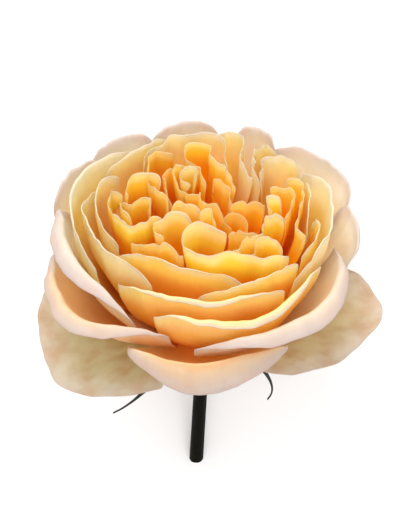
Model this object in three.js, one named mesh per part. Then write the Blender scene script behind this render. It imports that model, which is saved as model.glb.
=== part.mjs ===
// Garden rose: one cut, many-petalled bloom with its calyx and a short stem, lying on its side.
// Millimetres, +Z up. The flower is drawn upright in its own frame, with x to its right, y to its back and
// z up along its axis from the point where the petals leave the receptacle. It is then laid down as one group,
// to rest on the cut end of the stem and on the two hidden petals at its back.
import * as THREE from 'three';

// Driving dimensions
const bowlHeight = 34;            // height at which the petal bowl is widest
const clawRise = 0.5;             // petals start this far above the flat receptacle
const wallRises = [3, 9, 18, 28]; // heights shared by all petal walls between the claw and the rim
const clawWidth = 0.45;           // width of a petal's claw, as a share of its width at the rim
const petalThickness = 0.45;      // at the rim
const clawThickness = 0.12;       // where the petals stand packed on the receptacle
const cornerDrop = 3.5;           // how far a petal's top corners are rounded down
const rosetteCornerDrop = 1.2;
const guardRootReach = 6.2;       // guard petals start here, just under the others
const guardRootRise = -0.9;
const sepalThickness = 0.6;
const stemLength = 63;
const stemRadius = 2.3;
const stemLean = -0.045;          // sideways drift of the stem for each unit of its length
const stemSides = 14;
const hipRadius = 6.3;            // the swollen green receptacle under the petals
const hipDepth = 12;

// Petal chart. A rim is drawn by the few points that its shape needs, each [right, back, rise].
// A lip is how far the rim rolls [outwards, downwards] over its outer neighbour; most petals end upright.
const outerPetals = [
  { name: 'outer_petal_left_front', lip: [3.5, 3.5],
    rim: [[-46, 8, 29.5], [-46.5, -2, 27.5], [-45.5, -12, 26], [-42.5, -20, 25], [-35.5, -26.5, 25.5],
      [-24, -30.5, 27.5],
      [-11, -32, 28.5]] },
  { name: 'outer_petal_right_front', lip: [4, 3.5],
    rim: [[43, 8, 31.5], [42.5, 1, 30], [41.5, -8, 28.5], [38, -17.5, 27.5], [27.5, -28.5, 27.5],
      [11, -36.5, 28],
      [-3, -37.5, 27]] },
  { name: 'outer_petal_front', lip: [3, 12],
    rim: [[-26.3, -30, 20.2], [-19.7, -35.5, 22], [-12, -38, 20.2], [-4, -39.2, 18.4], [3, -39, 19.4],
      [12, -37.2, 20.4], [20, -34.3, 20.2], [30.5, -28.5, 19.3]] },
  { name: 'outer_petal_left', lip: [6, 3],
    rim: [[-43, 19, 36], [-43, 10, 36.5], [-41.5, 0, 36.5], [-37.5, -10, 36], [-31, -19.5, 34],
      [-21.5, -28, 30.5]] },
  { name: 'outer_petal_left_back', rim: [[-30, 38, 36], [-36, 34, 37], [-43, 27, 36], [-47, 18, 34]] },
  { name: 'outer_petal_back_left',
    rim: [[-15, 47.5, 38], [-24, 46, 38], [-31, 43, 37], [-36, 38.5, 35.5]] },
  { name: 'outer_petal_back', rim: [[6, 51, 38], [-3, 50.5, 40], [-12, 48, 39], [-18, 44.5, 38]] },
  { name: 'outer_petal_back_right', rim: [[10, 49.5, 38.5], [18, 48.5, 38], [24, 42.5, 37.5]] },
  { name: 'outer_petal_right_back',
    rim: [[22, 46.5, 36.5], [32, 41.5, 36], [40, 37, 35], [46, 29.5, 32], [47.5, 22, 30]] },
  { name: 'outer_petal_right', rim: [[43.5, 24.5, 31], [46.5, 17, 30], [48.5, 8, 27], [46, 0, 24]] },
];

const cupPetals = [
  { name: 'cup_petal_left',
    rim: [[-20, 41, 38.5], [-30, 35, 39], [-39, 23, 39], [-40.5, 12, 39], [-38, -1, 38.5],
      [-32, -12, 37]] },
  { name: 'cup_petal_back_left', rim: [[-30, 28, 39.5], [-24, 34.5, 40], [-16, 40, 40], [-10, 44.5, 40]] },
  { name: 'cup_petal_right',
    rim: [[31, 33, 37], [37.5, 25, 37], [39.5, 13, 37], [38.5, 2, 36.5], [33.5, -8, 36], [27, -16, 35.5]] },
  { name: 'cup_petal_front_low', lip: [2.2, 2.5],
    rim: [[-16, -28, 31.5], [-5, -32, 33], [6, -34.5, 33], [15, -33, 32.5], [24.5, -26.5, 33.5],
      [31.5, -17, 34],
      [36.5, -7, 34]] },
  { name: 'cup_petal_front', lip: [1.5, 2],
    rim: [[-27, -16, 35], [-16, -23, 35.5], [2, -29.5, 36.5], [15, -26, 36.5], [25, -20.5, 36]] },
  { name: 'cup_petal_front_right',
    rim: [[29.5, -10.5, 37.5], [25, -14.5, 38], [18.5, -19.5, 38], [8, -25, 38], [-2, -25, 36.5]] },
  { name: 'cup_petal_front_left',
    rim: [[-27, -6.5, 37.5], [-14, -13, 39], [-3, -17.5, 39], [13, -20.5, 37.5]] },
  { name: 'cup_petal_left_inner',
    rim: [[-33, 22, 39], [-36.5, 13, 39], [-34.5, 2, 39], [-27.5, -9.5, 38], [-15, -19, 36.5]] },
  { name: 'cup_petal_left_high',
    rim: [[-26, 28, 40], [-31.5, 22, 40], [-33, 12, 40], [-30, 2.5, 39.5], [-25.5, -3.5, 39]] },
  { name: 'cup_petal_right_inner', rim: [[32, 27, 37.5], [33, 20, 38], [32.5, 12, 38], [31, 4, 37.5]] },
  { name: 'cup_petal_right_small',
    rim: [[34, 9, 37], [35.5, 4, 37], [33.5, -2.5, 37], [30.5, -6.5, 36.5]] },
];

const rosettePetals = [
  { name: 'rosette_petal_front_curled',
    rim: [[26, -10, 40], [14, -12, 42], [3, -14.5, 42.5], [-3, -10.5, 42.5], [-3, -4.5, 43], [1, -1.5, 43],
      [7, -3, 41.5]] },
  { name: 'rosette_petal_front_frill',
    rim: [[7.8, -9, 41], [10.5, -6, 41], [13, -4.2, 41], [15.7, -3.8, 41], [18.5, -0.7, 40.5]] },
  { name: 'rosette_petal_front_right',
    rim: [[13.5, -9.3, 40.5], [16.2, -6.6, 41], [20.8, -5, 41], [24.8, -6.5, 40.5]] },
  { name: 'rosette_petal_centre_right',
    rim: [[7.5, 0.5, 38.5], [10, 1, 39], [13.5, 0.5, 39], [17, 1.5, 39]] },
  { name: 'rosette_petal_left_waved',
    rim: [[-26, 20, 40], [-28, 13, 41], [-26, 5, 41], [-21.5, 0.5, 41.5], [-17, 3.5, 42],
      [-12.5, 6, 42.5]] },
  { name: 'rosette_petal_left_narrow', rim: [[-24.5, 17, 40], [-23.5, 10, 40.5], [-20, 5.5, 40]] },
  { name: 'rosette_petal_left_hood',
    rim: [[-23.5, 16.5, 41.5], [-22, 19.5, 41.5], [-18.5, 21.5, 42], [-15.5, 20.5, 42],
      [-15.5, 17.5, 41.5]] },
  { name: 'rosette_petal_left_small',
    rim: [[-23, 13.7, 41.5], [-20.5, 14, 41.5], [-17.5, 13.5, 41.5], [-15.3, 11, 41.5], [-14.3, 8.5, 41]] },
  { name: 'rosette_petal_front_left',
    rim: [[-22, -3.5, 38.5], [-18, -3.5, 39.5], [-13, -6, 40], [-5, -9, 40]] },
  { name: 'rosette_petal_front_cupped',
    rim: [[-12.5, -3, 40.5], [-12, -0.5, 41.2], [-9.5, 2, 42], [-6, 2.3, 42], [-4, 0.5, 41.5]] },
  { name: 'rosette_petal_centre_left',
    rim: [[-10.5, 5, 41.5], [-8, 7.2, 42], [-4.5, 7.3, 42], [-1.5, 5.5, 42], [-0.3, 3.2, 41.5]] },
  { name: 'rosette_petal_centre_tuft', rim: [[1, 1.5, 41], [2.5, 4, 42], [4.5, 2.5, 41.5]] },
  { name: 'rosette_petal_centre_fold',
    rim: [[-4, 14, 42], [-3, 11, 42], [0, 10, 41], [3.5, 9, 39], [6.5, 8, 37]] },
  { name: 'rosette_petal_bud_wrap',
    rim: [[-6, 17, 42.5], [-7.5, 22, 43], [-4.5, 26.5, 43], [-1, 25.5, 43], [-0.5, 20.5, 42]] },
  { name: 'rosette_petal_bud',
    rim: [[-4.8, 20, 43], [-4.8, 23, 43.5], [-3.3, 23.8, 43.5], [-3, 20.5, 43]] },
  { name: 'rosette_petal_bud_left', rim: [[-8, 30, 42], [-11.5, 25, 42], [-9.5, 19, 42], [-8, 13, 41]] },
  { name: 'rosette_petal_back_left',
    rim: [[-9, 37, 41.5], [-14, 32, 42], [-15.5, 24, 42], [-13.5, 17, 41.5], [-11, 10.5, 40.5]] },
  { name: 'rosette_petal_bud_right',
    rim: [[-3, 29.5, 42.5], [-2, 33.5, 43], [0.5, 35.5, 43], [2, 31, 42], [6, 25.5, 41], [9, 21, 39]] },
  { name: 'rosette_petal_back',
    rim: [[-19, 31, 41], [-14, 36.5, 41], [-6, 41, 41.5], [1, 42, 41.5], [4.5, 37.5, 41.5],
      [7, 29, 39.5]] },
  { name: 'rosette_petal_back_middle',
    rim: [[3, 46, 40], [9, 45.5, 40.5], [12.5, 41.5, 40.5], [10.5, 35, 41], [10.5, 29, 40.5],
      [14, 24.5, 39]] },
  { name: 'rosette_petal_back_right',
    rim: [[25, 39, 39], [20, 40.5, 40], [15.5, 38, 40.5], [14.5, 31, 40.5], [17, 23, 39]] },
  { name: 'rosette_petal_right_back',
    rim: [[31, 30, 38], [26.5, 32, 39], [22, 33, 39.5], [19.5, 28, 39.5], [20, 22, 39]] },
  { name: 'rosette_petal_right_ruffled',
    rim: [[21, 18.5, 40], [24, 20.5, 40], [26, 17, 40], [26.5, 11, 39.5], [26, 5, 39]] },
  { name: 'rosette_petal_right',
    rim: [[25, 24.5, 39], [29, 23, 39.5], [30, 17, 39.5], [29, 10, 39.5], [27.5, -2, 38.5]] },
  { name: 'rosette_petal_right_cupped',
    rim: [[18.3, 3.5, 40.5], [19, 5.3, 41], [21, 6.6, 41], [24.3, 7.4, 41]] },
  { name: 'rosette_petal_right_small',
    rim: [[20.8, 9, 40.5], [22, 11.8, 41], [24, 12.6, 41], [24.8, 11, 40.5]] },
  { name: 'rosette_petal_heart_right',
    rim: [[9.5, 12, 37.5], [11.2, 13, 38.5], [13.5, 13, 38.5], [16, 13.3, 38.5], [18, 12.3, 38]] },
  { name: 'rosette_petal_heart_tongue', rim: [[2.5, 22, 40], [5, 21.5, 40.5], [7, 18.5, 39], [7, 16, 37]] },
  { name: 'rosette_petal_heart_front',
    rim: [[7.9, 8.3, 36.5], [8.8, 9.8, 37], [10.4, 9.8, 37], [11.6, 7.7, 37], [10.8, 5, 37]] },
];

// Guard petals spread below the bowl. Their edge is a chart like a rim; the shoulder is the height at mid-reach.
const guardPetals = [
  { name: 'guard_petal_left', shoulder: 3.5,
    edge: [[-47, 10, 12], [-52, 2, 6], [-51.5, -8, -2], [-49, -18, -7], [-40, -24, -9],
      [-26, -27, -8], [-13, -26, -6]] },
  { name: 'guard_petal_right', shoulder: 3.5,
    edge: [[45, 11, 13], [52, 7, 11], [57, 1, 7.5], [56.5, -5, 3], [50, -12, -0.5], [42, -17, -2.5],
      [30, -21, -4],
      [20, -22, -3.5]] },
  { name: 'guard_petal_back_right', shoulder: 3.5,
    edge: [[48, 24, 9], [45, 36, 6], [34, 45, 3], [22, 47, 2], [10, 45, 4], [4, 40, 6]] },
  { name: 'guard_petal_back_left', shoulder: 3.5,
    edge: [[-4, 40, 6], [-10, 45, 4], [-22, 47, 2], [-34, 45, 3], [-45, 36, 6], [-48, 24, 9]] },
];

// Sepals, each along its midrib from the hip to its curled tip.
const sepals = [
  { name: 'sepal_left_front', width: 7,
    midrib: [[-5, -5, -4], [-12, -13, -6], [-18.5, -22, -10], [-24.5, -25, -14], [-28.5, -25.5, -16.5]] },
  { name: 'sepal_right_front', width: 7,
    midrib: [[5.2, -4.8, -4], [13, -9, -6], [20.5, -13, -12], [22, -15, -17.5], [20.5, -16, -20]] },
  { name: 'sepal_right_back', width: 8, midrib: [[6.8, 2, -4], [17, 6, -5], [25, 11, -11], [29, 14, -19]] },
  { name: 'sepal_back', width: 8, midrib: [[0.5, 7, -4], [1, 16, -5], [-1, 25, -9], [-4, 31, -15]] },
  { name: 'sepal_left_back', width: 8, midrib: [[-6.8, 2.2, -4], [-17, 7, -5], [-26, 11, -10],
      [-30, 16, -18]] },
];

const petalFinish = { roughness: 0.55, metalness: 0, side: THREE.FrontSide };
const finishes = {
  guard: new THREE.MeshStandardMaterial({ color: 0xe8dcb8, ...petalFinish }),
  outer: new THREE.MeshStandardMaterial({ color: 0xf4dcc0, ...petalFinish }),
  cup: new THREE.MeshStandardMaterial({ color: 0xf6bd68, ...petalFinish }),
  rosette: new THREE.MeshStandardMaterial({ color: 0xfdb73a, ...petalFinish }),
  sepal: new THREE.MeshStandardMaterial({ color: 0x3c4a26, roughness: 0.7, metalness: 0 }),
  stem: new THREE.MeshStandardMaterial({ color: 0x23261a, roughness: 0.5, metalness: 0 }),
};

// Share of its full reach that the bowl has at a given height: an ellipse, so the tallest petals lean in again.
function bowlShare(rise) {
  const below = 1 - rise / bowlHeight;
  return Math.sqrt(1 - below * below);
}

function curveThrough(points) {
  return new THREE.CatmullRomCurve3(points.map(point => new THREE.Vector3(...point)), false, 'centripetal');
}

// Closed thin body around a grid of points. thicknessAt gives the full thickness at a point of the grid.
function sheetGeometry(rows, thicknessAt) {
  const rowCount = rows.length;
  const columnCount = rows[0].length;
  const positions = [];
  for (const side of [0.5, -0.5]) {
    rows.forEach((row, i) => row.forEach((point, j) => {
      const along = rows[i][Math.min(j + 1, columnCount - 1)].clone().sub(rows[i][Math.max(j - 1, 0)]);
      const upward = rows[Math.min(i + 1, rowCount - 1)][j].clone().sub(rows[Math.max(i - 1, 0)][j]);
      const normal = along.cross(upward).normalize();
      positions.push(...point.clone().addScaledVector(normal, side * thicknessAt(point)).toArray());
    }));
  }
  const at = (i, j, side) => (side * rowCount + i) * columnCount + j;
  const triangles = [];
  const quad = (a, b, c, d) => triangles.push(a, b, c, a, c, d);
  for (let i = 0; i + 1 < rowCount; i += 1) {
    for (let j = 0; j + 1 < columnCount; j += 1) {
      quad(at(i, j, 0), at(i, j + 1, 0), at(i + 1, j + 1, 0), at(i + 1, j, 0));
      quad(at(i, j, 1), at(i + 1, j, 1), at(i + 1, j + 1, 1), at(i, j + 1, 1));
    }
  }
  for (let i = 0; i + 1 < rowCount; i += 1) {
    quad(at(i, 0, 0), at(i + 1, 0, 0), at(i + 1, 0, 1), at(i, 0, 1));
    quad(at(i, columnCount - 1, 0), at(i, columnCount - 1, 1), at(i + 1, columnCount - 1, 1),
      at(i + 1, columnCount - 1, 0));
  }
  for (let j = 0; j + 1 < columnCount; j += 1) {
    quad(at(0, j, 0), at(0, j, 1), at(0, j + 1, 1), at(0, j + 1, 0));
    quad(at(rowCount - 1, j, 0), at(rowCount - 1, j + 1, 0), at(rowCount - 1, j + 1, 1), at(rowCount - 1, j, 1));
  }
  const geometry = new THREE.BufferGeometry();
  geometry.setAttribute('position', new THREE.Float32BufferAttribute(positions, 3));
  geometry.setIndex(triangles);
  geometry.computeVertexNormals();
  return geometry;
}

// A petal that rises from its claw through the bowl to its rim, then rolls over its lip.
// Every wall follows the same bowl, scaled from the axis, so petals whose rims keep apart never meet below.
function bowlPetalRows({ rim, lip }, columns, drop = cornerDrop) {
  const rimCurve = curveThrough(rim);
  const topRise = Math.max(...rim.map(point => point[2]));
  const walls = wallRises.filter(rise => rise < topRise - 7);
  const rimPoint = share => {
    const point = rimCurve.getPointAt(share);
    const corner = Math.abs(2 * share - 1) ** 6;
    point.z -= drop * corner;
    return point;
  };
  const wallPoint = (share, rise) => {
    const point = rimPoint(share);
    const scale = bowlShare(rise) / bowlShare(point.z);
    return new THREE.Vector3(point.x * scale, point.y * scale, rise);
  };
  const rows = [clawRise, ...walls].map(rise => {
    const width = Math.min(1, clawWidth + (1 - clawWidth) * rise / (0.5 * topRise));
    return columns.map(column => wallPoint(0.5 + (column - 0.5) * width, rise));
  });
  rows.push(columns.map(rimPoint));
  if (!lip) return rows;
  const [outwards, downwards] = lip;
  rows.push(columns.map(column => {
    const point = rimPoint(column);
    const fade = Math.sin(Math.PI * (0.08 + 0.84 * column));
    const along = rimCurve.getTangentAt(column);
    const away = new THREE.Vector3(-along.y, along.x, 0).normalize();
    if (away.dot(point) < 0) away.negate();
    point.addScaledVector(away, outwards * fade);
    point.z -= downwards * fade;
    return point;
  }));
  return rows;
}

// A guard petal leaves the hip below the bowl, spreads over its shoulder and droops to its edge.
function guardPetalRows({ edge, shoulder }, columns) {
  const edgeCurve = curveThrough(edge);
  const steps = [0, 0.2, 0.42, 0.64, 0.84, 1];
  return steps.map(step => columns.map(column => {
    const width = Math.min(1, clawWidth + (1 - clawWidth) * step / 0.55);
    const tip = edgeCurve.getPointAt(0.5 + (column - 0.5) * width);
    const reach = Math.hypot(tip.x, tip.y);
    const rootScale = guardRootReach / reach;
    const scale = rootScale + (1 - rootScale) * step;
    const rise = (1 - step) * (1 - step) * guardRootRise + 2 * step * (1 - step) * shoulder + step * step * tip.z;
    return new THREE.Vector3(tip.x * scale, tip.y * scale, rise);
  }));
}

// A sepal is a narrow blade along its midrib, widest near the hip and drawn out to a thin tip.
function sepalRows({ midrib, width }) {
  const curve = curveThrough(midrib);
  const rowCount = 9;
  const rows = [];
  for (let i = 0; i < rowCount; i += 1) {
    const step = i / (rowCount - 1);
    const centre = curve.getPointAt(step);
    const across = curve.getTangentAt(step).cross(new THREE.Vector3(0, 0, 1)).normalize();
    const half = 0.5 * width * (0.1 + 0.9 * (1 - step) ** 1.2) * (0.7 + 0.5 * Math.sin(Math.PI * step));
    rows.push([-half, 0, half].map(offset => centre.clone().addScaledVector(across, offset)));
  }
  return rows;
}

// Stem and hip grew as one piece: a turned outline from the receptacle down to the cut, leaning slightly.
function stemGeometry() {
  const outline = [
    [0, -stemLength], [stemRadius, -stemLength], [stemRadius * 0.98, -stemLength * 0.6],
    [stemRadius, -stemLength * 0.35], [stemRadius * 1.25, -hipDepth - 3], [hipRadius * 0.72, -hipDepth],
    [hipRadius, -hipDepth * 0.6], [hipRadius, -3.2], [hipRadius * 0.86, -1.8], [hipRadius * 0.8, 0],
      [0, 0.1],
  ];
  const geometry = new THREE.LatheGeometry(outline.map(([x, y]) => new THREE.Vector2(x, y)), stemSides);
  geometry.rotateX(Math.PI / 2);
  const positions = geometry.getAttribute('position');
  for (let i = 0; i < positions.count; i += 1) {
    positions.setX(i, positions.getX(i) - stemLean * Math.min(0, positions.getZ(i) + hipDepth));
  }
  return geometry;
}

function evenSteps(count) {
  return Array.from({ length: count + 1 }, (unused, i) => i / count);
}

function petalThicknessAt(point) {
  return clawThickness + (petalThickness - clawThickness) * bowlShare(Math.max(0, point.z)) ** 2;
}

const flower = new THREE.Group();

function addPiece(name, geometry, material) {
  const mesh = new THREE.Mesh(geometry, material);
  mesh.name = name;
  flower.add(mesh);
}

for (const petal of guardPetals) {
  addPiece(petal.name, sheetGeometry(guardPetalRows(petal, evenSteps(9)), () => petalThickness), finishes.guard);
}
for (const petal of outerPetals) {
  addPiece(petal.name, sheetGeometry(bowlPetalRows(petal, evenSteps(7)), petalThicknessAt), finishes.outer);
}
for (const petal of cupPetals) {
  addPiece(petal.name, sheetGeometry(bowlPetalRows(petal, evenSteps(7)), petalThicknessAt), finishes.cup);
}
for (const petal of rosettePetals) {
  const spans = Math.max(4, petal.rim.length + 1);
  const rows = bowlPetalRows(petal, evenSteps(spans), rosetteCornerDrop);
  addPiece(petal.name, sheetGeometry(rows, petalThicknessAt), finishes.rosette);
}
for (const sepal of sepals) {
  addPiece(sepal.name, sheetGeometry(sepalRows(sepal), () => sepalThickness), finishes.sepal);
}
addPiece('stem', stemGeometry(), finishes.stem);

// Height of a piece's lowest point when the flower's axis lies at the given angle to the surface.
function lowestWhenLaid(mesh, tilt) {
  const positions = mesh.geometry.getAttribute('position');
  let lowest = Infinity;
  for (let i = 0; i < positions.count; i += 1) {
    lowest = Math.min(lowest, positions.getZ(i) * Math.sin(tilt) - positions.getY(i) * Math.cos(tilt));
  }
  return lowest;
}

// The flower comes to rest where its petals and the cut end of the stem touch the surface together.
function restingTilt() {
  let flat = THREE.MathUtils.degToRad(10);
  let steep = THREE.MathUtils.degToRad(60);
  const stem = flower.getObjectByName('stem');
  const petals = flower.children.filter(piece => piece.name.includes('petal'));
  for (let i = 0; i < 40; i += 1) {
    const middle = (flat + steep) / 2;
    const petalsLowest = Math.min(...petals.map(petal => lowestWhenLaid(petal, middle)));
    if (lowestWhenLaid(stem, middle) < petalsLowest) steep = middle;
    else flat = middle;
  }
  return (flat + steep) / 2;
}

flower.rotation.x = restingTilt() - Math.PI / 2;
const rose = new THREE.Group();
rose.add(flower);
rose.updateMatrixWorld(true);
const laidBox = new THREE.Box3().setFromObject(rose, true);
const laidCentre = laidBox.getCenter(new THREE.Vector3());
flower.position.set(-laidCentre.x, -laidCentre.y, -laidBox.min.z);

export default rose;
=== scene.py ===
import math

import bmesh
import bpy
from mathutils import Matrix, Vector, noise


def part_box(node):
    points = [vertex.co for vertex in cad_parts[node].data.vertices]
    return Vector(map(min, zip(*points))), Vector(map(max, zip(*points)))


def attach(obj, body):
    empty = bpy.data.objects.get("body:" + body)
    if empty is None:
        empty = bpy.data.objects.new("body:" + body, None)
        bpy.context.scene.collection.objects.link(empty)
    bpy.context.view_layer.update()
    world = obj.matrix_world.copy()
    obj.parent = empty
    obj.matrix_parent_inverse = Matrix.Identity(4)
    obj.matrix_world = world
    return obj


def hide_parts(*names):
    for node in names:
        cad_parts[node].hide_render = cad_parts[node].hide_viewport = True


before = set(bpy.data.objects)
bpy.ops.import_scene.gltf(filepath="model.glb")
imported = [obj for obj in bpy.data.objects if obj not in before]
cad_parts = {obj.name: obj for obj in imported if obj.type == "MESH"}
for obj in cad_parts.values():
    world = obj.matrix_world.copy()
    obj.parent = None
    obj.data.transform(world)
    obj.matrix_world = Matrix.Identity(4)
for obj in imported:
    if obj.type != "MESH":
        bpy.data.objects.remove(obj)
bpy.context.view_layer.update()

mm = 0.001  # the charts are in millimetres, the scene in metres

# Charts are drawn with the flower upright: x to its right, y to its back, z up its axis from the receptacle.

stemShape = {
    "length": 63,       # from the receptacle to the cut
    "radius": 2.3,
    "lean": -0.045,     # sideways drift for each unit of length
    "hipRadius": 6.3,   # the swollen receptacle
    "hipDepth": 12,
    "crownRadius": 5.04,
    "sides": 40,
    "rings": 46,
    "ridges": 0.05,     # shallow lengthwise ridges of the green bark
}


def layFlower():
    # the CAD stem touches the floor with its cut end and is highest at its crown, which gives the tilt
    low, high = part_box("stem")
    cutPart = stemShape["length"] * mm
    widePart = (stemShape["radius"] + stemShape["crownRadius"]) * mm
    tilt = math.asin((high.z - low.z) / math.hypot(cutPart, widePart)) - math.atan2(widePart, cutPart)
    crown = stemShape["crownRadius"] * mm
    middle = (low.x + high.x) / 2
    root = Vector((middle, high.y - crown * math.sin(tilt), high.z - crown * math.cos(tilt)))
    turn = Matrix.Rotation(tilt - math.pi / 2, 4, "X")
    place = [round(c / mm, 2) for c in root]
    print("flower lies at", round(math.degrees(tilt), 2), "degrees, root at", place)
    return Matrix.Translation(root) @ turn @ Matrix.Scale(mm, 4), tilt


flower, tilt = layFlower()

# A rim is drawn by the few points its shape needs, each [right, back, rise] in mm.
# lip: how far the rim rolls (outwards, downwards). warmth: 0 for cool cream, 1 for deep gold. The heart
# petals are set deepest, so their gold also paints the shade in the hollow heart.

outerPetals = {
    "outer_petal_left_front": {"lip": (5, 4), "seed": 1, "warmth": 0.45,
        "rim": [(-46, 8, 29.5), (-46.5, -2, 27.5), (-45.5, -12, 26), (-42.5, -20, 25),
                (-35.5, -26.5, 25.5), (-24, -30.5, 27.5), (-11, -32, 28.5)]},
    "outer_petal_right_front": {"lip": (6, 4), "seed": 2, "warmth": 0.15,
        "rim": [(43, 8, 31.5), (42.5, 1, 30), (41.5, -8, 28.5), (38, -17.5, 27.5), (27.5, -28.5, 27.5),
                (11, -36.5, 28), (-3, -37.5, 27)]},
    "outer_petal_front": {"lip": (3, 12), "seed": 3, "warmth": 0.5,
        "rim": [(-26.3, -30, 20.2), (-19.7, -35.5, 22), (-12, -38, 20.2), (-4, -39.2, 18.4), (3, -39, 19.4),
                (12, -37.2, 20.4), (20, -34.3, 20.2), (30.5, -28.5, 19.3)]},
    "outer_petal_left": {"lip": (6, 3), "seed": 4, "warmth": 0,
        "rim": [(-43, 19, 36), (-43, 10, 36.5), (-41.5, 0, 36.5), (-37.5, -10, 36), (-31, -19.5, 34),
                (-21.5, -28, 30.5)]},
    "outer_petal_left_back": {"lip": (1, 0.5), "seed": 5, "warmth": 0.15,
        "rim": [(-30, 38, 36), (-36, 34, 37), (-43, 27, 36), (-47, 18, 34)]},
    "outer_petal_back_left": {"lip": (1, 0.5), "seed": 6, "warmth": 0.05,
        "rim": [(-15, 47.5, 38), (-24, 46, 38), (-31, 43, 37), (-36, 38.5, 35.5)]},
    "outer_petal_back": {"lip": (1, 0.5), "seed": 7, "warmth": 0.1,
        "rim": [(6, 51, 38), (-3, 50.5, 40), (-12, 48, 39), (-18, 44.5, 38)]},
    "outer_petal_back_right": {"lip": (1, 0.5), "seed": 8, "warmth": 0.2,
        "rim": [(10, 49.5, 38.5), (18, 48.5, 38), (24, 42.5, 37.5)]},
    "outer_petal_right_back": {"lip": (1, 1), "seed": 9, "warmth": 0.1,
        "rim": [(22, 46.5, 36.5), (32, 41.5, 36), (40, 37, 35), (46, 29.5, 32), (47.5, 22, 30)]},
    "outer_petal_right": {"lip": (1, 1), "seed": 10, "warmth": 0.1,
        "rim": [(43.5, 24.5, 31), (46.5, 17, 30), (48.5, 8, 27), (46, 0, 24)]},
}

cupPetals = {
    "cup_petal_left": {"lip": (0.8, 0.5), "seed": 11, "warmth": 0.0,
        "rim": [(-20, 41, 38.5), (-30, 35, 39), (-39, 23, 39), (-40.5, 12, 39), (-38, -1, 38.5),
                (-32, -12, 37)]},
    "cup_petal_back_left": {"lip": (0.5, 0.5), "seed": 12, "warmth": 0.3,
        "rim": [(-30, 28, 39.5), (-24, 34.5, 40), (-16, 40, 40), (-10, 44.5, 40)]},
    "cup_petal_right": {"lip": (0.8, 0.5), "seed": 13, "warmth": 0.05,
        "rim": [(31, 33, 37), (37.5, 25, 37), (39.5, 13, 37), (38.5, 2, 36.5), (33.5, -8, 36),
                (27, -16, 35.5)]},
    "cup_petal_front_low": {"lip": (2.2, 2.5), "claw": 0.9, "seed": 14, "warmth": 0.5,
        "rim": [(-16, -28, 31.5), (-5, -32, 33), (6, -34.5, 33), (15, -33, 32.5), (24.5, -26.5, 33.5),
                (31.5, -17, 34), (36.5, -7, 34)]},
    "cup_petal_front": {"lip": (1.5, 2), "seed": 15, "warmth": 0.6,
        "rim": [(-27, -16, 35), (-16, -23, 35.5), (2, -29.5, 36.5), (15, -26, 36.5), (25, -20.5, 36)]},
    "cup_petal_front_right": {"lip": (0.8, 0.5), "seed": 16, "warmth": 0.75,
        "rim": [(29.5, -10.5, 37.5), (25, -14.5, 38), (18.5, -19.5, 38), (8, -25, 38), (-2, -25, 36.5)]},
    "cup_petal_front_left": {"lip": (0.8, 0.5), "seed": 17, "warmth": 0.8,
        "rim": [(-27, -6.5, 37.5), (-14, -13, 39), (-3, -17.5, 39), (13, -20.5, 37.5)]},
    "cup_petal_left_inner": {"lip": (0.8, 0.5), "seed": 18, "warmth": 0.2,
        "rim": [(-33, 22, 39), (-36.5, 13, 39), (-34.5, 2, 39), (-27.5, -9.5, 38), (-15, -19, 36.5)]},
    "cup_petal_left_high": {"lip": (0.5, 0.5), "seed": 19, "warmth": 0.3,
        "rim": [(-26, 28, 40), (-31.5, 22, 40), (-33, 12, 40), (-30, 2.5, 39.5), (-25.5, -3.5, 39)]},
    "cup_petal_right_inner": {"lip": (0.5, 0.5), "seed": 20, "warmth": 0.4,
        "rim": [(32, 27, 37.5), (33, 20, 38), (32.5, 12, 38), (31, 4, 37.5)]},
    "cup_petal_right_small": {"lip": (0.5, 0.5), "seed": 21, "warmth": 0.7,
        "rim": [(34, 9, 37), (35.5, 4, 37), (33.5, -2.5, 37), (30.5, -6.5, 36.5)]},
}

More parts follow.
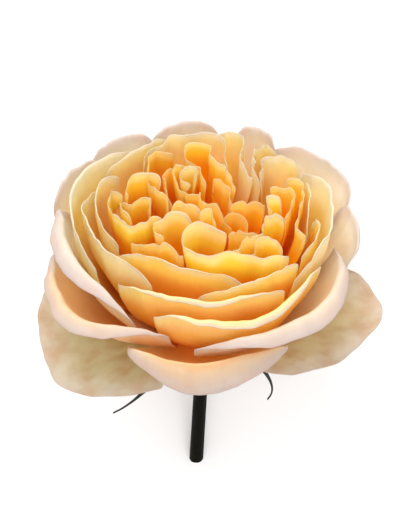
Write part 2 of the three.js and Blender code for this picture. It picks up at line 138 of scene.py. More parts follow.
rosettePetals = {
    "rosette_petal_front_curled": {"lip": (0.4, 0.3), "seed": 22, "warmth": 0.09,
        "rim": [(26, -10, 40), (14, -12, 42), (3, -14.5, 42.5), (-3, -10.5, 42.5), (-3, -4.5, 43),
                (1, -1.5, 43), (7, -3, 41.5)]},
    "rosette_petal_front_frill": {"lip": (0.3, 0.3), "seed": 23, "warmth": 0.27,
        "rim": [(7.8, -9, 41), (10.5, -6, 41), (13, -4.2, 41), (15.7, -3.8, 41), (18.5, -0.7, 40.5)]},
    "rosette_petal_front_right": {"lip": (0.3, 0.3), "seed": 24, "warmth": 0.27,
        "rim": [(13.5, -9.3, 40.5), (16.2, -6.6, 41), (20.8, -5, 41), (24.8, -6.5, 40.5)]},
    "rosette_petal_centre_right": {"lip": (0.3, 0.3), "seed": 25, "warmth": 0.45,
        "rim": [(7.5, 0.5, 38.5), (10, 1, 39), (13.5, 0.5, 39), (17, 1.5, 39)]},
    "rosette_petal_left_waved": {"lip": (0.4, 0.3), "seed": 26, "warmth": 0.09,
        "rim": [(-26, 20, 40), (-28, 13, 41), (-26, 5, 41), (-21.5, 0.5, 41.5), (-17, 3.5, 42),
                (-12.5, 6, 42.5)]},
    "rosette_petal_left_narrow": {"lip": (0.3, 0.3), "seed": 27, "warmth": 0.27,
        "rim": [(-24.5, 17, 40), (-23.5, 10, 40.5), (-20, 5.5, 40)]},
    "rosette_petal_left_hood": {"lip": (0.3, 0.3), "seed": 28, "warmth": 0.27,
        "rim": [(-23.5, 16.5, 41.5), (-22, 19.5, 41.5), (-18.5, 21.5, 42), (-15.5, 20.5, 42),
                (-15.5, 17.5, 41.5)]},
    "rosette_petal_left_small": {"lip": (0.3, 0.3), "seed": 29, "warmth": 0.27,
        "rim": [(-23, 13.7, 41.5), (-20.5, 14, 41.5), (-17.5, 13.5, 41.5), (-15.3, 11, 41.5),
                (-14.3, 8.5, 41)]},
    "rosette_petal_front_left": {"lip": (0.4, 0.3), "seed": 30, "warmth": 0.45,
        "rim": [(-22, -3.5, 38.5), (-18, -3.5, 39.5), (-13, -6, 40), (-5, -9, 40)]},
    "rosette_petal_front_cupped": {"lip": (0.3, 0.3), "seed": 31, "warmth": 0.27,
        "rim": [(-12.5, -3, 40.5), (-12, -0.5, 41.2), (-9.5, 2, 42), (-6, 2.3, 42), (-4, 0.5, 41.5)]},
    "rosette_petal_centre_left": {"lip": (0.3, 0.3), "seed": 32, "warmth": 0.45,
        "rim": [(-10.5, 5, 41.5), (-8, 7.2, 42), (-4.5, 7.3, 42), (-1.5, 5.5, 42), (-0.3, 3.2, 41.5)]},
    "rosette_petal_centre_tuft": {"lip": (0.2, 0.2), "seed": 33, "warmth": 0.64,
        "rim": [(1, 1.5, 41), (2.5, 4, 42), (4.5, 2.5, 41.5)]},
    # set deep like the heart petals below: its gold partly paints the shade around the hollow heart
    "rosette_petal_centre_fold": {"lip": (0.3, 0.3), "seed": 34, "warmth": 0.82,
        "rim": [(-4, 14, 42), (-3, 11, 42), (0, 10, 41), (3.5, 9, 39), (6.5, 8, 37)]},
    "rosette_petal_bud_wrap": {"lip": (0.2, 0.2), "seed": 35, "warmth": 0.45,
        "rim": [(-6, 17, 42.5), (-7.5, 22, 43), (-4.5, 26.5, 43), (-1, 25.5, 43), (-0.5, 20.5, 42)]},
    "rosette_petal_bud": {"lip": (0.1, 0.1), "seed": 36, "warmth": 0,
        "rim": [(-4.8, 20, 43), (-4.8, 23, 43.5), (-3.3, 23.8, 43.5), (-3, 20.5, 43)]},
    "rosette_petal_bud_left": {"lip": (0.3, 0.3), "seed": 37, "warmth": 0.4,
        "rim": [(-8, 30, 42), (-11.5, 25, 42), (-9.5, 19, 42), (-8, 13, 41)]},
    "rosette_petal_back_left": {"lip": (0.3, 0.3), "seed": 38, "warmth": 0.45,
        "rim": [(-9, 37, 41.5), (-14, 32, 42), (-15.5, 24, 42), (-13.5, 17, 41.5), (-11, 10.5, 40.5)]},
    "rosette_petal_bud_right": {"lip": (0.3, 0.3), "seed": 39, "warmth": 0.35,
        "rim": [(-3, 29.5, 42.5), (-2, 33.5, 43), (0.5, 35.5, 43), (2, 31, 42), (6, 25.5, 41),
                (9, 21, 39)]},
    "rosette_petal_back": {"lip": (0.4, 0.3), "seed": 40, "skin": "cupPetalSkin", "warmth": 0.3,
        "rim": [(-19, 31, 41), (-14, 36.5, 41), (-6, 41, 41.5), (1, 42, 41.5), (4.5, 37.5, 41.5),
                (7, 29, 39.5)]},
    "rosette_petal_back_middle": {"lip": (0.4, 0.3), "seed": 41, "skin": "cupPetalSkin", "warmth": 0.3,
        "rim": [(3, 46, 40), (9, 45.5, 40.5), (12.5, 41.5, 40.5), (10.5, 35, 41), (10.5, 29, 40.5),
                (14, 24.5, 39)]},
    "rosette_petal_back_right": {"lip": (0.4, 0.3), "seed": 42, "skin": "cupPetalSkin", "warmth": 0.3,
        "rim": [(25, 39, 39), (20, 40.5, 40), (15.5, 38, 40.5), (14.5, 31, 40.5), (17, 23, 39)]},
    "rosette_petal_right_back": {"lip": (0.4, 0.3), "seed": 43, "skin": "cupPetalSkin", "warmth": 0.3,
        "rim": [(31, 30, 38), (26.5, 32, 39), (22, 33, 39.5), (19.5, 28, 39.5), (20, 22, 39)]},
    "rosette_petal_right_ruffled": {"lip": (0.3, 0.3), "seed": 44, "warmth": 0.45,
        "rim": [(21, 18.5, 40), (24, 20.5, 40), (26, 17, 40), (26.5, 11, 39.5), (26, 5, 39)]},
    "rosette_petal_right": {"lip": (0.4, 0.3), "seed": 45, "warmth": 0.27,
        "rim": [(25, 24.5, 39), (29, 23, 39.5), (30, 17, 39.5), (29, 10, 39.5), (27.5, -2, 38.5)]},
    "rosette_petal_right_cupped": {"lip": (0.2, 0.2), "seed": 46, "warmth": 0.09,
        "rim": [(18.3, 3.5, 40.5), (19, 5.3, 41), (21, 6.6, 41), (24.3, 7.4, 41)]},
    "rosette_petal_right_small": {"lip": (0.2, 0.2), "seed": 47, "warmth": 0.09,
        "rim": [(20.8, 9, 40.5), (22, 11.8, 41), (24, 12.6, 41), (24.8, 11, 40.5)]},
    # the heart petals: the deepest warmth, where the deep gold paints the shade in the hollow heart
    "rosette_petal_heart_right": {"lip": (0.3, 0.3), "seed": 48, "warmth": 0.82,
        "rim": [(9.5, 12, 37.5), (11.2, 13, 38.5), (13.5, 13, 38.5), (16, 13.3, 38.5), (18, 12.3, 38)]},
    "rosette_petal_heart_tongue": {"lip": (0.2, 0.2), "seed": 49, "warmth": 0.64,
        "rim": [(2.5, 22, 40), (5, 21.5, 40.5), (7, 18.5, 39), (7, 16, 37)]},
    "rosette_petal_heart_front": {"lip": (0.2, 0.2), "seed": 50, "warmth": 1.0,
        "rim": [(7.9, 8.3, 36.5), (8.8, 9.8, 37), (10.4, 9.8, 37), (11.6, 7.7, 37), (10.8, 5, 37)]},
}

# Guard petals spread below the bowl: edge as a rim, shoulder the height at mid-reach.
guardPetals = {
    "guard_petal_left": {"shoulder": 3.5, "seed": 51, "warmth": 0.1,
        "edge": [(-47, 10, 12), (-52, 2, 6), (-51.5, -8, -2), (-49, -18, -7), (-40, -24, -9),
                (-26, -27, -8), (-13, -26, -6)]},
    "guard_petal_right": {"shoulder": 3.5, "seed": 52, "warmth": 0.4,
        "edge": [(45, 11, 13), (52, 7, 11), (57, 1, 7.5), (56.5, -5, 3), (50, -12, -0.5),
                (42, -17, -2.5), (30, -21, -4), (20, -22, -3.5)]},
    "guard_petal_back_right": {"shoulder": 3.5, "seed": 53, "warmth": 0.2,
        "edge": [(48, 24, 9), (45, 36, 6), (34, 45, 3), (22, 47, 2), (10, 45, 4), (4, 40, 6)]},
    "guard_petal_back_left": {"shoulder": 3.5, "seed": 54, "warmth": 0.2,
        "edge": [(-4, 40, 6), (-10, 45, 4), (-22, 47, 2), (-34, 45, 3), (-45, 36, 6), (-48, 24, 9)]},
}

sepals = {
    "sepal_left_front": {"width": 7,
        "midrib": [(-5, -5, -4), (-12, -13, -6), (-18.5, -22, -10), (-24.5, -25, -14),
                (-28.5, -25.5, -16.5)]},
    "sepal_right_front": {"width": 7,
        "midrib": [(5.2, -4.8, -4), (13, -9, -6), (20.5, -13, -12), (22, -15, -17.5), (20.5, -16, -20)]},
    "sepal_right_back": {"width": 8,
        "midrib": [(6.8, 2, -4), (17, 6, -5), (25, 11, -11), (29, 14, -19)]},
    "sepal_back": {"width": 8,
        "midrib": [(0.5, 7, -4), (1, 16, -5), (-1, 25, -9), (-4, 31, -15)]},
    "sepal_left_back": {"width": 8,
        "midrib": [(-6.8, 2.2, -4), (-17, 7, -5), (-26, 11, -10), (-30, 16, -18)]},
}


def curveThrough(points, fine=24):
    # a smooth curve through the points, asked for the point at a share of its length
    nodes = [Vector(p) for p in points]
    nodes = [2 * nodes[0] - nodes[1]] + nodes + [2 * nodes[-1] - nodes[-2]]
    path = [nodes[1]]
    for a, b, c, d in zip(nodes, nodes[1:], nodes[2:], nodes[3:]):
        ab, bc, cd = [math.sqrt((q - p).length) for p, q in ((a, b), (b, c), (c, d))]
        leave = ((b - a) / ab - (c - a) / (ab + bc) + (c - b) / bc) * bc
        arrive = ((c - b) / bc - (d - b) / (bc + cd) + (d - c) / cd) * bc
        for i in range(1, fine + 1):
            t = i / fine
            path.append(b * (2 * t**3 - 3 * t**2 + 1) + leave * (t**3 - 2 * t**2 + t)
                        + c * (3 * t**2 - 2 * t**3) + arrive * (t**3 - t**2))
    lengths = [0.0]
    for p, q in zip(path, path[1:]):
        lengths.append(lengths[-1] + (q - p).length)

    def at(share):
        wanted = min(max(share, 0.0), 1.0) * lengths[-1]
        i = min(int(share * (len(path) - 1)), len(path) - 2)
        while i > 0 and lengths[i] > wanted:
            i -= 1
        while i < len(path) - 2 and lengths[i + 1] < wanted:
            i += 1
        return path[i].lerp(path[i + 1], (wanted - lengths[i]) / (lengths[i + 1] - lengths[i]))

    at.length = lengths[-1]
    return at


def easeIn(value, start, end):
    # 0 before start, 1 after end, smooth between
    t = min(max((value - start) / (end - start), 0.0), 1.0)
    return t * t * (3 - 2 * t)


def wander(x, y, seed):
    return noise.noise(Vector((x, y, seed * 7.31)))


bowl = {
    "height": 34,        # where the petal bowl is widest
    "clawRise": 0.5,     # petals start this far above the receptacle
    "wobble": 0.5,       # the whole bloom is a little uneven
    "wobbleSize": 9,
}


def bowlAngle(rise):
    return math.acos(1 - rise / bowl["height"])


def bowlPetalPoint(petal, s, t):
    # s runs along the rim, t from the claw up the wall and over the lip
    curve, seed = petal["curve"], petal["seed"]
    ruffle = petal["ruffle"]
    across = 0.5 + (s - 0.5) * (petal["claw"] + (1 - petal["claw"]) * easeIn(t, *petal["widens"]))
    rim = curve(across)
    fade = math.sin(math.pi * across)
    outwards, downwards = [part * fade for part in petal["lip"]]
    rollDepth = 0.3 + 0.4 * outwards  # the roll begins this far below the rim
    top = rim.z - petal["cornerDrop"] * abs(2 * across - 1) ** petal["cornerPower"] - rollDepth
    top += 0.7 * ruffle * wander(across * curve.length / 7, 0.0, seed)
    top += 0.3 * ruffle * wander(across * curve.length / 2.6, 2.0, seed)
    top -= 0.5 * ruffle * max(0.0, 1 - 8 * abs(wander(across * curve.length / 9, 12.0, seed)))
    lipLength = rollDepth + 0.8 * outwards + downwards
    lipShare = lipLength / (lipLength + top)
    wallShare = min(1.0, t / (1 - lipShare))
    start, full = bowlAngle(bowl["clawRise"]), bowlAngle(top)
    angle = start + (full - start) * wallShare
    share = math.sin(angle) / math.sin(bowlAngle(rim.z))
    point = Vector((rim.x * share, rim.y * share, bowl["height"] * (1 - math.cos(angle))))
    away = petal["side"] * rimNormal(curve, across)
    high = easeIn(t, 0.45, 1.0)
    shift = ruffle * high * (wander(across * curve.length / 9, 3.7, seed)
                             + 0.55 * wander(across * curve.length / 3.2, 8.1, seed))
    shift += petal["flare"] * high * high
    rollShare = max(0.0, (t - 1 + lipShare) / lipShare)
    bend = 2 * rollShare * (1 - rollShare)
    shift += outwards * (0.3 * bend + rollShare**2)
    point.z += 2 * rollDepth * bend + (rollDepth - downwards) * rollShare**2
    return uneven(point + away * shift)


def rimNormal(curve, share):
    along = curve(share + 0.03) - curve(share - 0.03)
    return Vector((along.y, -along.x, 0)).normalized()


def outerSide(curve):
    # 1 if the rim's normals point away from the flower's axis, else -1
    total = sum(rimNormal(curve, i / 10).dot(curve(i / 10)) for i in range(11))
    return math.copysign(1, total)


def uneven(point):
    # three plain noises side by side, which repeat from run to run
    place = point / bowl["wobbleSize"]
    shift = Vector([noise.noise(place + Vector((9.3 * axis, -1.5, 7.9))) for axis in range(3)])
    return point + shift * bowl["wobble"] * easeIn(point.z, 2, 20)


guardShape = {"rootReach": 6.2, "rootRise": -0.9, "ripple": 1.1, "crease": 2.4}


def guardPetalPoint(petal, s, t):
    curve, seed = petal["curve"], petal["seed"]
    across = 0.5 + (s - 0.5) * min(1.0, petal["claw"] + (1 - petal["claw"]) * t / 0.55)
    edge = curve(across)
    reach = math.hypot(edge.x, edge.y)
    root = guardShape["rootReach"] / reach
    scale = root + (1 - root) * t
    rise = (1 - t) ** 2 * guardShape["rootRise"] + 2 * t * (1 - t) * petal["shoulder"] + t * t * edge.z
    high = easeIn(t, 0.35, 1.0)
    rise += guardShape["ripple"] * high * wander(across * curve.length / 16, t * 1.5, seed)
    rise += 0.3 * high * wander(across * curve.length / 4, t * 4, seed + 0.5)
    rise += guardShape["crease"] * high * (abs(wander(across * curve.length / 13, t * 0.8, seed + 2)) - 0.2)
    scale += 0.05 * high * wander(across * curve.length / 14, 5.5, seed)
    scale += 0.015 * high * wander(across * curve.length / 4, 2.5, seed)
    return Vector((edge.x * scale, edge.y * scale, rise))


petalBuild = {
    # claw: width at the bottom as a share of the rim's, reached between the two heights of widens
    # cornerDrop: the ends of the rim are rounded down by this, over less of it the higher cornerPower is
    # ruffle: waves of the rim; flare: the top leans out by this much
    "outer": {"columns": 44, "rows": 30, "thickness": 0.26,
              "claw": 0.55, "widens": (-0.2, 0.6), "cornerDrop": 6.5, "cornerPower": 5,
              "ruffle": 1.1, "flare": 0.3},
    "cup": {"columns": 44, "rows": 26, "thickness": 0.22,
            "claw": 0.45, "widens": (-0.2, 0.7), "cornerDrop": 4, "cornerPower": 5,
            "ruffle": 1.0, "flare": 0.5},
    "rosette": {"columns": 30, "rows": 20, "thickness": 0.18,
                "claw": 0.4, "widens": (0.0, 1.0), "cornerDrop": 2.8, "cornerPower": 2.5,
                "ruffle": 3.0, "flare": 1.3},
    "guard": {"columns": 48, "rows": 34, "thickness": 0.28,
              "claw": 0.45, "widens": (0, 1), "cornerDrop": 0, "cornerPower": 1,
              "ruffle": 0, "flare": 0},
}


def makePetal(name, petal, pointAt, build, skin):
    petal["curve"] = curveThrough(petal.get("rim") or petal["edge"])
    petal["side"] = outerSide(petal["curve"])
    for trait in ("claw", "widens", "cornerDrop", "cornerPower", "ruffle", "flare"):
        petal.setdefault(trait, build[trait])
    bm = bmesh.new()
    uvLayer = bm.loops.layers.uv.new("petal")
    bmesh.ops.create_grid(bm, x_segments=build["columns"], y_segments=build["rows"], size=0.5, calc_uvs=True)
    tall = sum((flower @ pointAt(petal, 0.5, (i + 1) / 12) - flower @ pointAt(petal, 0.5, i / 12)).length
               for i in range(12)) / mm
    for face in bm.faces:
        for loop in face.loops:
            s, t = loop.vert.co.x + 0.5, loop.vert.co.y + 0.5
            loop[uvLayer].uv = ((s - 0.5) * petal["curve"].length / 50, (1 - t) * tall / 50)
    for vert in bm.verts:
        vert.co = flower @ pointAt(petal, vert.co.x + 0.5, vert.co.y + 0.5)
    piece = finishMesh(bm, name + "_skin", skin, name)
    warmth = piece.data.attributes.new("warmth", "FLOAT", "POINT")
    warmth.data.foreach_set("value", [petal["warmth"]] * len(piece.data.vertices))
    thicken = piece.modifiers.new("thickness", "SOLIDIFY")
    thicken.thickness = build["thickness"] * mm
    thicken.offset = 0
    refine(piece, 1)
    return piece


def refine(piece, levels):
    smooth = piece.modifiers.new("smooth", "SUBSURF")
    smooth.levels = levels
    smooth.render_levels = levels


def finishMesh(bm, name, skin, node):
    mesh = bpy.data.meshes.new(name)
    bm.to_mesh(mesh)
    bm.free()
    mesh.polygons.foreach_set("use_smooth", [True] * len(mesh.polygons))
    mesh.materials.append(skin)
    piece = bpy.data.objects.new(name, mesh)
    bpy.context.scene.collection.objects.link(piece)
    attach(piece, "root")
    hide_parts(node)
    return piece


def hexColour(code):
    # sRGB hex to linear
    parts = [int(code[i:i + 2], 16) / 255 for i in (1, 3, 5)]
    return [c / 12.92 if c <= 0.04045 else ((c + 0.055) / 1.055) ** 2.4 for c in parts] + [1.0]


def addNode(tree, kind, sockets=None, **settings):
    node = tree.nodes.new(kind)
    for name, value in settings.items():
        setattr(node, name, value)
    for name, value in (sockets or {}).items():
        if isinstance(value, bpy.types.NodeSocket):
            tree.links.new(value, node.inputs[name])
        else:
            node.inputs[name].default_value = value
    return node


def setRamp(node, stops):
    ramp = node.color_ramp
    ramp.interpolation = "EASE"
    for place, code in stops[2:]:
        ramp.elements.new(place)
    for element, (place, code) in zip(ramp.elements, sorted(stops)):
        element.position = place
        element.color = hexColour(code)


def newMaterial(name):
    material = bpy.data.materials.new(name)
    material.use_nodes = True
    material.node_tree.nodes.clear()
    return material, material.node_tree


# Petal skin: thin living tissue, soft and satiny, lit through. The colour runs down from the rim:
# the stops are millimetres below the rim, first for a cool petal, then for a warm one.
petalSkins = {
    "guardPetalSkin": {
        "cool": [(0, "#D8D0C2"), (2, "#DAD3BE"), (12, "#D6CEA8"), (30, "#D0BC84"), (48, "#C4A264")],
        "warm": [(0, "#DCD0C2"), (2, "#E0D2BE"), (12, "#E4CAA2"), (30, "#DAB282"), (48, "#CA9858")],
        "blush": 0.08, "bruise": 0.45},
    "outerPetalSkin": {
        "cool": [(0, "#DCD6D0"), (2, "#E3DDD5"), (10, "#EEE8DA"), (22, "#F6EAD0"), (45, "#F4CC80")],
        "warm": [(0, "#DED4CA"), (2, "#E4D8C6"), (7, "#EED4A4"), (13, "#F6BC4C"), (45, "#F0900C")],
        "blush": 0.22, "bruise": 0.08},
    "cupPetalSkin": {
        "cool": [(0, "#E8E0D0"), (2.5, "#F4EDD6"), (8, "#FCF4CC"), (16, "#FEEC9C"), (40, "#FCC030")],
        "warm": [(0, "#EAE0CC"), (2, "#F8EAB4"), (5, "#FFE554"), (10, "#FFC600"), (40, "#F99000")],
        "blush": 0.0, "bruise": 0.0},
    "rosettePetalSkin": {
        "cool": [(0, "#EEE4CA"), (2.5, "#FFF4B8"), (6, "#FFEE60"), (12, "#FFCA00"), (35, "#FF9600")],
        # the deep orange end of these warm stops, on the heart petals, is painted shade for the hollow heart
        "warm": [(0, "#F4DC9C"), (2, "#FFE26C"), (5, "#FFC81C"), (11, "#FF9C00"), (35, "#F47000")],
        "blush": 0.0, "bruise": 0.0},
}


def petalSkin(name, settings):
    material, tree = newMaterial(name)
    uv = addNode(tree, "ShaderNodeUVMap", uv_map="petal")
    onPetal = addNode(tree, "ShaderNodeSeparateXYZ", {"Vector": uv.outputs[0]})
    patches = addNode(tree, "ShaderNodeTexNoise", {"Vector": uv.outputs[0], "Scale": 6.0, "Detail": 3.0})
    drift = addNode(tree, "ShaderNodeMath", {0: patches.outputs["Fac"], 1: 0.12}, operation="MULTIPLY")
    below = addNode(tree, "ShaderNodeMath", {0: onPetal.outputs["Y"], 1: drift.outputs[0]}, operation="ADD")
    depth = addNode(tree, "ShaderNodeMath", {0: below.outputs[0], 1: 0.06}, operation="SUBTRACT",
                    use_clamp=True)
    ramps = []
    for tone in ("cool", "warm"):
        ramp = addNode(tree, "ShaderNodeValToRGB", {"Fac": depth.outputs[0]})
        setRamp(ramp, [(stop / 50, code) for stop, code in settings[tone]])
        ramps.append(ramp)
    # warmth blends the cool stops into the warm ones: deeper gold, and on the heart petals painted shade
    warmth = addNode(tree, "ShaderNodeAttribute", attribute_name="warmth")
    body = addNode(tree, "ShaderNodeMix", {"Factor": warmth.outputs["Fac"], 6: ramps[0].outputs[0],
                                           7: ramps[1].outputs[0]}, data_type="RGBA")
    # veins fan out from the claw, about a millimetre apart
    fan = addNode(tree, "ShaderNodeMapping", {"Vector": uv.outputs[0], "Scale": (50, 5, 1)})
    veins = addNode(tree, "ShaderNodeTexNoise", {"Vector": fan.outputs[0], "Scale": 1.0, "Detail": 4.0,
                                                 "Roughness": 0.6})
    veinTone = addNode(tree, "ShaderNodeMapRange", {"Value": veins.outputs["Fac"], "From Min": 0.3,
                                                    "From Max": 0.7, "To Min": 0.98, "To Max": 1.01})
    veined = addNode(tree, "ShaderNodeMix", {"Factor": 1.0, 6: body.outputs[2], 7: veinTone.outputs[0]},
                     data_type="RGBA", blend_type="MULTIPLY")
    # blush: a little pink gathers in patches close to the edge
    near = addNode(tree, "ShaderNodeMapRange", {"Value": onPetal.outputs["Y"], "From Min": 0.0,
                                                "From Max": 0.2, "To Min": settings["blush"], "To Max": 0.0})
    patchy = addNode(tree, "ShaderNodeMath", {0: near.outputs[0], 1: patches.outputs["Fac"]},
                     operation="MULTIPLY")
    blushed = addNode(tree, "ShaderNodeMix", {"Factor": patchy.outputs[0], 6: veined.outputs[2],
                                              7: hexColour("#E79A90")}, data_type="RGBA")
    # bruise: the oldest petals have browned in patches
    bruise = addNode(tree, "ShaderNodeMapRange", {"Value": patches.outputs["Fac"], "From Min": 0.42,
                                                  "From Max": 0.72, "To Min": 0.0,
                                                  "To Max": settings["bruise"]})
    aged = addNode(tree, "ShaderNodeMix", {"Factor": bruise.outputs[0], 6: blushed.outputs[2],
                                           7: hexColour("#C08A48")}, data_type="RGBA")
    grain = addNode(tree, "ShaderNodeTexNoise", {"Vector": uv.outputs[0], "Scale": 150.0, "Detail": 2.0})
    relief = addNode(tree, "ShaderNodeMath", {0: veins.outputs["Fac"], 1: grain.outputs["Fac"]},
                     operation="ADD")
    bump = addNode(tree, "ShaderNodeBump", {"Strength": 0.12, "Distance": 0.0002,
                                            "Height": relief.outputs[0]})
    skin = addNode(tree, "ShaderNodeBsdfPrincipled", {
        "Base Color": aged.outputs[2], "Roughness": 0.55, "Specular IOR Level": 0.14, "Sheen Weight": 0.04,
        "Sheen Roughness": 0.4, "Normal": bump.outputs[0]})
    deeper = addNode(tree, "ShaderNodeGamma", {"Color": aged.outputs[2], "Gamma": 1.1})
    through = addNode(tree, "ShaderNodeBsdfTranslucent", {"Color": deeper.outputs[0],
                                                          "Normal": bump.outputs[0]})
    both = addNode(tree, "ShaderNodeMixShader", {0: 0.55, 1: skin.outputs[0], 2: through.outputs[0]})
    addNode(tree, "ShaderNodeOutputMaterial", {"Surface": both.outputs[0]})
    return material


def leafSkin():
    # waxy calyx leaf: dark green, purple-black towards the thin tip, a dull shine
    material, tree = newMaterial("sepalLeafSkin")
    uv = addNode(tree, "ShaderNodeUVMap", uv_map="petal")
    onLeaf = addNode(tree, "ShaderNodeSeparateXYZ", {"Vector": uv.outputs[0]})
    mottled = addNode(tree, "ShaderNodeTexNoise", {"Vector": uv.outputs[0], "Scale": 20.0, "Detail": 4.0})
    shifted = addNode(tree, "ShaderNodeMath", {0: mottled.outputs["Fac"], 1: 0.3}, operation="MULTIPLY")
    along = addNode(tree, "ShaderNodeMath", {0: onLeaf.outputs["Y"], 1: shifted.outputs[0]}, operation="ADD")
    ramp = addNode(tree, "ShaderNodeValToRGB", {"Fac": along.outputs[0]})
    setRamp(ramp, [(0.0, "#5B6B3A"), (0.35, "#36441F"), (0.8, "#1D2012"), (1.0, "#1E1420")])
    bump = addNode(tree, "ShaderNodeBump", {"Strength": 0.4, "Distance": 0.0003,
                                            "Height": mottled.outputs["Fac"]})
    skin = addNode(tree, "ShaderNodeBsdfPrincipled", {"Base Color": ramp.outputs[0], "Roughness": 0.5,
                                                      "Normal": bump.outputs[0]})
    addNode(tree, "ShaderNodeOutputMaterial", {"Surface": skin.outputs[0]})
    return material


def barkSkin():
    # smooth young bark: almost black brown-green, matt, with fine lengthwise streaks
    material, tree = newMaterial("stemBarkSkin")
    place = addNode(tree, "ShaderNodeTexCoord")
    streaked = addNode(tree, "ShaderNodeMapping", {"Vector": place.outputs["Object"],
                                                   "Scale": (900, 120, 900)})
    streaks = addNode(tree, "ShaderNodeTexNoise", {"Vector": streaked.outputs[0], "Scale": 1.0,
                                                   "Detail": 4.0})
    ramp = addNode(tree, "ShaderNodeValToRGB", {"Fac": streaks.outputs["Fac"]})
    setRamp(ramp, [(0.25, "#080501"), (0.5, "#0D0902"), (0.8, "#151004")])
    bump = addNode(tree, "ShaderNodeBump", {"Strength": 0.3, "Distance": 0.0003,
                                            "Height": streaks.outputs["Fac"]})
    skin = addNode(tree, "ShaderNodeBsdfPrincipled", {"Base Color": ramp.outputs[0], "Roughness": 0.6,
                                                      "Specular IOR Level": 0.06,
                                                      "Normal": bump.outputs[0]})
    addNode(tree, "ShaderNodeOutputMaterial", {"Surface": skin.outputs[0]})
    return material


skins = {name: petalSkin(name, settings) for name, settings in petalSkins.items()}
for name, petal in guardPetals.items():
    makePetal(name, petal, guardPetalPoint, petalBuild["guard"], skins["guardPetalSkin"])
for name, petal in outerPetals.items():
    makePetal(name, petal, bowlPetalPoint, petalBuild["outer"], skins["outerPetalSkin"])
for name, petal in cupPetals.items():
    makePetal(name, petal, bowlPetalPoint, petalBuild["cup"], skins["cupPetalSkin"])
for name, petal in rosettePetals.items():
    skin = skins[petal.get("skin", "rosettePetalSkin")]  # the rearmost are as pale as the cup petals
    makePetal(name, petal, bowlPetalPoint, petalBuild["rosette"], skin)
print("petals done")


def sepalPoint(sepal, s, t):
    curve = sepal["curve"]
    centre = curve(t)
    ahead, behind = curve(min(1.0, t + 0.02)), curve(max(0.0, t - 0.02))
    across = (ahead - behind).cross(Vector((0, 0, 1))).normalized()
    up = across.cross(ahead - behind).normalized()
    half = 0.5 * sepal["width"] * (0.07 + 0.93 * (1 - t) ** 2.2) * (0.7 + 0.5 * math.sin(math.pi * t))
    side = 2 * s - 1
    half *= 1 + 0.25 * wander(t * 9, side, sepal["width"]) * easeIn(abs(side), 0.5, 1)
    keel = -0.25 * half * side * side
    return centre + across * half * side + up * keel


def makeSepal(name, sepal, skin):
    sepal["curve"] = curveThrough(sepal["midrib"])
    bm = bmesh.new()
    uvLayer = bm.loops.layers.uv.new("petal")
    bmesh.ops.create_grid(bm, x_segments=10, y_segments=36, size=0.5, calc_uvs=True)
    for face in bm.faces:
        for loop in face.loops:
            loop[uvLayer].uv = (loop.vert.co.x * 0.3, loop.vert.co.y + 0.5)
    for vert in bm.verts:
        vert.co = flower @ sepalPoint(sepal, vert.co.x + 0.5, vert.co.y + 0.5)
    piece = finishMesh(bm, name + "_leaf", skin, name)
    thicken = piece.modifiers.new("thickness", "SOLIDIFY")
    thicken.thickness = 0.55 * mm
    thicken.offset = 0
    refine(piece, 1)


def makeStem(skin):
    length, radius, hip, deep = [stemShape[k] for k in ("length", "radius", "hipRadius", "hipDepth")]
    outline = curveThrough([
        (radius, 0, -length + 0.06), (radius * 0.98, 0, -length * 0.6), (radius, 0, -length * 0.35),
        (radius * 1.25, 0, -deep - 3), (hip * 0.72, 0, -deep), (hip, 0, -deep * 0.6), (hip, 0, -3.2),
        (hip * 0.86, 0, -1.8), (hip * 0.8, 0, 0)])
    onOutline = [outline(i / stemShape["rings"]) for i in range(stemShape["rings"] + 1)]
    shapes = [(radius * 0.9, -length), (radius, -length)]
    shapes += [(point.x, point.z) for point in onOutline]
    shapes.append((hip * 0.4, 0.1))
    bm = bmesh.new()
    bmesh.ops.create_circle(bm, cap_ends=True, segments=stemShape["sides"], radius=1)
    bm.faces.ensure_lookup_table()
    face = bm.faces[0]
    shapeRing(list(bm.verts), *shapes[0])
    for step, (size, rise) in enumerate(shapes[1:]):
        made = bmesh.ops.extrude_face_region(bm, geom=[face])["geom"]
        if step > 0:  # only the cut end keeps its face
            bmesh.ops.delete(bm, geom=[face], context="FACES_ONLY")
        face = next(g for g in made if isinstance(g, bmesh.types.BMFace))
        shapeRing([g for g in made if isinstance(g, bmesh.types.BMVert)], size, rise)
    bmesh.ops.recalc_face_normals(bm, faces=bm.faces)
    bmesh.ops.transform(bm, matrix=flower, verts=bm.verts)
    piece = finishMesh(bm, "stem_bark", skin, "stem")
    refine(piece, 1)


def shapeRing(ring, size, rise):
    count = len(ring)
    drift = -stemShape["lean"] * min(0.0, rise + stemShape["hipDepth"])
    for i, vert in enumerate(ring):
        angle = 2 * math.pi * i / count
        ridge = 1 + stemShape["ridges"] * wander(math.cos(angle) * 2, math.sin(angle) * 2, 0.4)
        vert.co = Vector((size * ridge * math.cos(angle) + drift, size * ridge * math.sin(angle), rise))


leaf = leafSkin()
for name, sepal in sepals.items():
    makeSepal(name, sepal, leaf)
makeStem(barkSkin())
print("sepals and stem done")


stage = {"floorSize": 6.0, "floorColour": "#F4F3F1", "worldColour": "#FBFBFF", "worldStrength": 0.9}


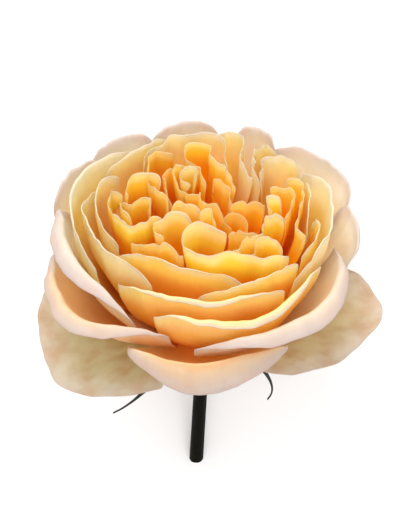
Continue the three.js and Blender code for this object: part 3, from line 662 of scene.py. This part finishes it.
def makeFloor():
    mesh = bpy.data.meshes.new("floor")
    bm = bmesh.new()
    bmesh.ops.create_grid(bm, x_segments=1, y_segments=1, size=stage["floorSize"] / 2)
    bmesh.ops.translate(bm, vec=(0, 0, -0.0002), verts=bm.verts)
    bm.to_mesh(mesh)
    bm.free()
    floor = bpy.data.objects.new("floor", mesh)
    bpy.context.scene.collection.objects.link(floor)
    material, tree = newMaterial("floorPaper")
    paper = addNode(tree, "ShaderNodeBsdfPrincipled", {"Base Color": hexColour(stage["floorColour"]),
                                                       "Roughness": 0.9, "Specular IOR Level": 0.1})
    addNode(tree, "ShaderNodeOutputMaterial", {"Surface": paper.outputs[0]})
    mesh.materials.append(material)


softboxes = {
    "keyLight": {"place": (-0.15, 0.85, 0.75), "size": 0.7, "power": 11.5},
    "fillLight": {"place": (0.1, -0.2, 1.2), "size": 0.9, "power": 6.5},
}


def makeLights():
    world = bpy.data.worlds.new("studio")
    bpy.context.scene.world = world
    world.use_nodes = True
    background = world.node_tree.nodes["Background"]
    background.inputs["Color"].default_value = hexColour(stage["worldColour"])
    background.inputs["Strength"].default_value = stage["worldStrength"]
    for name, box in softboxes.items():
        light = bpy.data.lights.new(name, "AREA")
        light.size = box["size"]
        light.energy = box["power"]
        lamp = bpy.data.objects.new(name, light)
        lamp.location = box["place"]
        lamp.rotation_mode = "QUATERNION"
        lamp.rotation_quaternion = (Vector((0, 0, 0.04)) - lamp.location).to_track_quat("-Z", "Y")
        bpy.context.scene.collection.objects.link(lamp)


viewpoint = {
    "overBloom": 42.0,         # degrees between the line of sight and the plane of the bloom
    "distance": 900,           # mm
    "target": (1.6, 0, 25.7),  # in the flower's own frame, mm
    "lens": 199.4,
}


def makeCamera():
    rise = math.radians(viewpoint["overBloom"]) - tilt
    back = Vector((0, math.sin(rise), math.cos(rise)))
    data = bpy.data.cameras.new("camera")
    data.lens = viewpoint["lens"]
    data.clip_start, data.clip_end = 0.01, 50
    camera = bpy.data.objects.new("camera", data)
    camera.location = flower @ Vector(viewpoint["target"]) + back * viewpoint["distance"] * mm
    camera.rotation_euler = (-rise, 0, 0)
    bpy.context.scene.collection.objects.link(camera)
    bpy.context.scene.camera = camera


makeFloor()
makeLights()
makeCamera()
bpy.context.scene.view_settings.view_transform = "Standard"
print("stage done")
